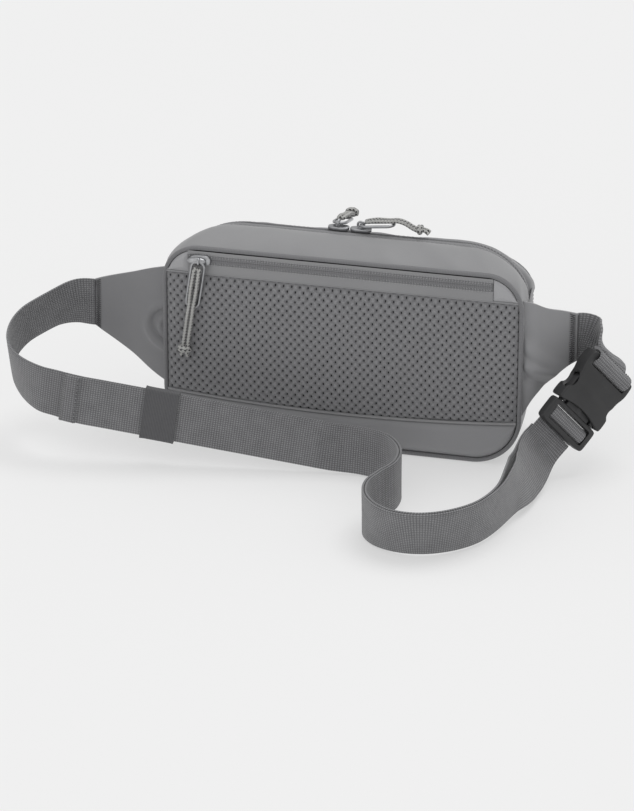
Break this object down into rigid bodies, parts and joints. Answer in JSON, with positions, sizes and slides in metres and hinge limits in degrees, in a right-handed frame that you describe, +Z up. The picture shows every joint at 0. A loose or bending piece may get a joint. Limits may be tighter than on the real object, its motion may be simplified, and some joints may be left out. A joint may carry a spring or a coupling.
{
  "type": "waist pack",
  "caption": "Soft rectangular waist pack with a mesh back pad, zipped compartments with cord pulls, hip wings, and a flat webbing belt with a side-release buckle.",
  "frame": {"origin": "middle of the flat bottom that the case stands on", "axes": "+X along the wide back panel, to the right as seen from the side worn against the body; -Y towards the wearer; +Z up"},
  "size_m": [0.4008, 0.2296, 0.1461],
  "materials": {
    "shell_fabric": "coated ripstop nylon, satin",
    "spacer_mesh": "knitted spacer mesh",
    "foam": "closed-cell foam",
    "board": "polyethylene sheet",
    "lining_fabric": "light coated lining",
    "zip_tape": "woven polyester tape",
    "zip_coil": "nylon coil",
    "piping": "corded binding",
    "webbing": "woven nylon webbing",
    "elastic": "knitted elastic",
    "cord": "braided cord with dark flecks",
    "steel": "nickel-plated",
    "acetal": "moulded acetal"
  },
  "bodies": {
    "pack": {"rear_top_gusset": "shell_fabric", "main_zip_tape_rear": "zip_tape", "main_zip_coil": "zip_coil", "main_zip_tape_front": "zip_tape", "front_top_gusset": "shell_fabric", "lower_gusset": "shell_fabric", "main_zip_end_tab_left": "shell_fabric", "main_zip_end_tab_right": "shell_fabric", "rear_piping": "piping", "front_piping": "piping", "front_panel": "shell_fabric", "lining": "lining_fabric", "back_panel_board": "board", "back_pocket_bag": "lining_fabric", "back_foam_pad": "foam", "back_mesh_panel": "spacer_mesh", "bottom_band": "shell_fabric", "back_zip_end_cap_left": "shell_fabric", "back_zip_end_cap_right": "shell_fabric", "back_zip_coil": "zip_coil", "back_zip_tape_lower": "zip_tape", "back_zip_tape_upper": "zip_tape", "left_wing": "shell_fabric", "right_wing": "shell_fabric", "belt_webbing": "webbing", "belt_tail": "webbing", "short_webbing": "webbing", "buckle_male_frame": "acetal", "strap_through_lock": "webbing", "buckle_centre_guide": "acetal"},
    "back_slider": {"back_slider": "steel"},
    "back_loop": {"back_pull_loop": "steel", "back_cord_upper": "cord"},
    "back_cord": {"back_cord_lower": "cord"},
    "left_slider": {"left_slider": "steel"},
    "left_loop": {"left_pull_loop": "steel", "left_cord_upper": "cord"},
    "left_cord": {"left_cord_lower": "cord"},
    "right_slider": {"right_slider": "steel"},
    "right_loop": {"right_pull_loop": "steel", "right_cord_upper": "cord"},
    "right_cord": {"right_cord_lower": "cord"},
    "keeper": {"elastic_keeper": "elastic"},
    "female_buckle": {"buckle_female": "acetal", "buckle_strap_loop": "webbing"},
    "upper_prong": {"buckle_prong_upper": "acetal"},
    "lower_prong": {"buckle_prong_lower": "acetal"}
  },
  "joints": [
    {"name": "back_zip_slide", "type": "slide", "parent": "pack", "child": "back_slider", "axis": [1, 0, 0], "range_m": [0, 0.18]},
    {"name": "back_loop_swing", "type": "hinge", "parent": "back_slider", "child": "back_loop", "pos_m": [-0.092, -0.0401, 0.1216], "axis": [-1, 0, 0], "range_deg": [0, 160]},
    {"name": "back_cord_swing", "type": "hinge", "parent": "back_loop", "child": "back_cord", "pos_m": [-0.0965, -0.0426, 0.0929], "axis": [-0.9878, 0, 0.156], "range_deg": [0, 60]},
    {"name": "left_zip_slide", "type": "slide", "parent": "pack", "child": "left_slider", "axis": [-1, 0, 0], "range_m": [0, 0.052]},
    {"name": "left_loop_swing", "type": "hinge", "parent": "left_slider", "child": "left_loop", "pos_m": [-0.0113, 0.004, 0.1397], "axis": [1, 0, 0], "range_deg": [0, 150]},
    {"name": "left_cord_swing", "type": "hinge", "parent": "left_loop", "child": "left_cord", "pos_m": [-0.0113, 0.0231, 0.1382], "axis": [1, 0, 0], "range_deg": [0, 30]},
    {"name": "right_zip_slide", "type": "slide", "parent": "pack", "child": "right_slider", "axis": [1, 0, 0], "range_m": [0, 0.06]},
    {"name": "right_loop_swing", "type": "hinge", "parent": "right_slider", "child": "right_loop", "pos_m": [0.0033, 0.004, 0.1397], "axis": [0, -1, 0], "range_deg": [0, 110]},
    {"name": "right_cord_swing", "type": "hinge", "parent": "right_loop", "child": "right_cord", "pos_m": [0.0219, 0.004, 0.1442], "axis": [0, -1, 0], "range_deg": [0, 30]},
    {"name": "keeper_slide", "type": "slide", "parent": "pack", "child": "keeper", "axis": [0.9838, 0.1138, -0.1385], "range_m": [-0.025, 0.083]},
    {"name": "buckle_release", "type": "slide", "parent": "pack", "child": "female_buckle", "axis": [0.4894, 0.5593, 0.6691], "range_m": [0, 0.026]},
    {"name": "upper_prong_squeeze", "type": "hinge", "parent": "pack", "child": "upper_prong", "pos_m": [0.14499, -0.04151, 0.05271], "axis": [-0.7006, 0.7091, -0.0803], "range_deg": [0, 6], "stiffness_Nm_per_rad": 0.5},
    {"name": "lower_prong_squeeze", "type": "hinge", "parent": "pack", "child": "lower_prong", "pos_m": [0.15994, -0.02914, 0.03144], "axis": [0.7006, -0.7091, 0.0803], "range_deg": [0, 6], "stiffness_Nm_per_rad": 0.5}
  ],
  "couplings": [
    {"joint": "lower_prong_squeeze", "follows": "upper_prong_squeeze", "ratio": 1}
  ]
}
